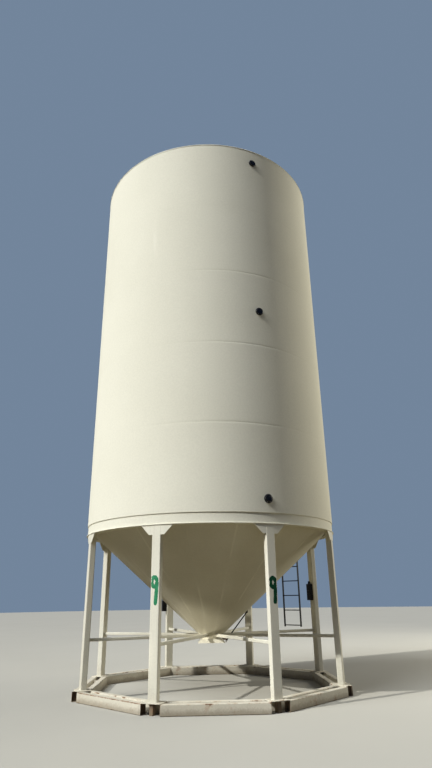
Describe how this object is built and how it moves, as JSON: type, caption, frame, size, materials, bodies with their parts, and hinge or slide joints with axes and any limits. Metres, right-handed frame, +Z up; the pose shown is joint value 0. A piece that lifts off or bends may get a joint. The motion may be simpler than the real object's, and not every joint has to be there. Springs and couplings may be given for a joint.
{
  "type": "hopper-bottom grain silo",
  "caption": "Round welded steel grain silo with a cone hopper on braced legs, standing on an octagonal double-rail skid, with a cone roof and a wall ladder.",
  "frame": {"origin": "on the ground, under the middle of the hopper", "axes": "+Z up, -Y towards the front between the two numbered legs, +X to the right seen from the front"},
  "size_m": [4.844, 4.844, 11.9713],
  "materials": {
    "white_paint": "semi-gloss warm white",
    "skid_paint": "worn warm white with rust and dirt",
    "dark_steel": "satin black",
    "bare_steel": "dull, weathered",
    "sight_glass": "dark glossy",
    "black_plastic": "matte black"
  },
  "bodies": {
    "root": {"skid_side_1": "skid_paint", "skid_side_2": "skid_paint", "skid_side_3": "skid_paint", "skid_side_4": "skid_paint", "skid_side_5": "skid_paint", "skid_side_6": "skid_paint", "skid_side_7": "skid_paint", "skid_side_8": "skid_paint", "leg_1": "white_paint", "leg_2": "white_paint", "leg_3": "white_paint", "leg_4": "white_paint", "leg_5": "white_paint", "leg_6": "white_paint", "leg_7": "white_paint", "leg_8": "white_paint", "brace_1": "white_paint", "brace_2": "white_paint", "brace_3": "white_paint", "brace_4": "white_paint", "brace_5": "white_paint", "brace_6": "white_paint", "brace_7": "white_paint", "brace_8": "white_paint", "ring_beam": "white_paint", "hopper_cone": "white_paint", "outlet_skirt": "white_paint", "slide_gate": "bare_steel", "gate_rod": "dark_steel", "wall_course_1": "white_paint", "wall_course_2": "white_paint", "wall_course_3": "white_paint", "wall_course_4": "white_paint", "wall_course_5": "white_paint", "roof": "white_paint", "fill_lid": "white_paint", "roof_vent_left": "white_paint", "roof_vent_right": "white_paint", "sight_glass_1": "sight_glass", "sight_glass_2": "sight_glass", "sight_glass_3": "sight_glass", "ladder": "dark_steel", "switch_box": "black_plastic", "junction_box": "black_plastic"}
  },
  "joints": []
}
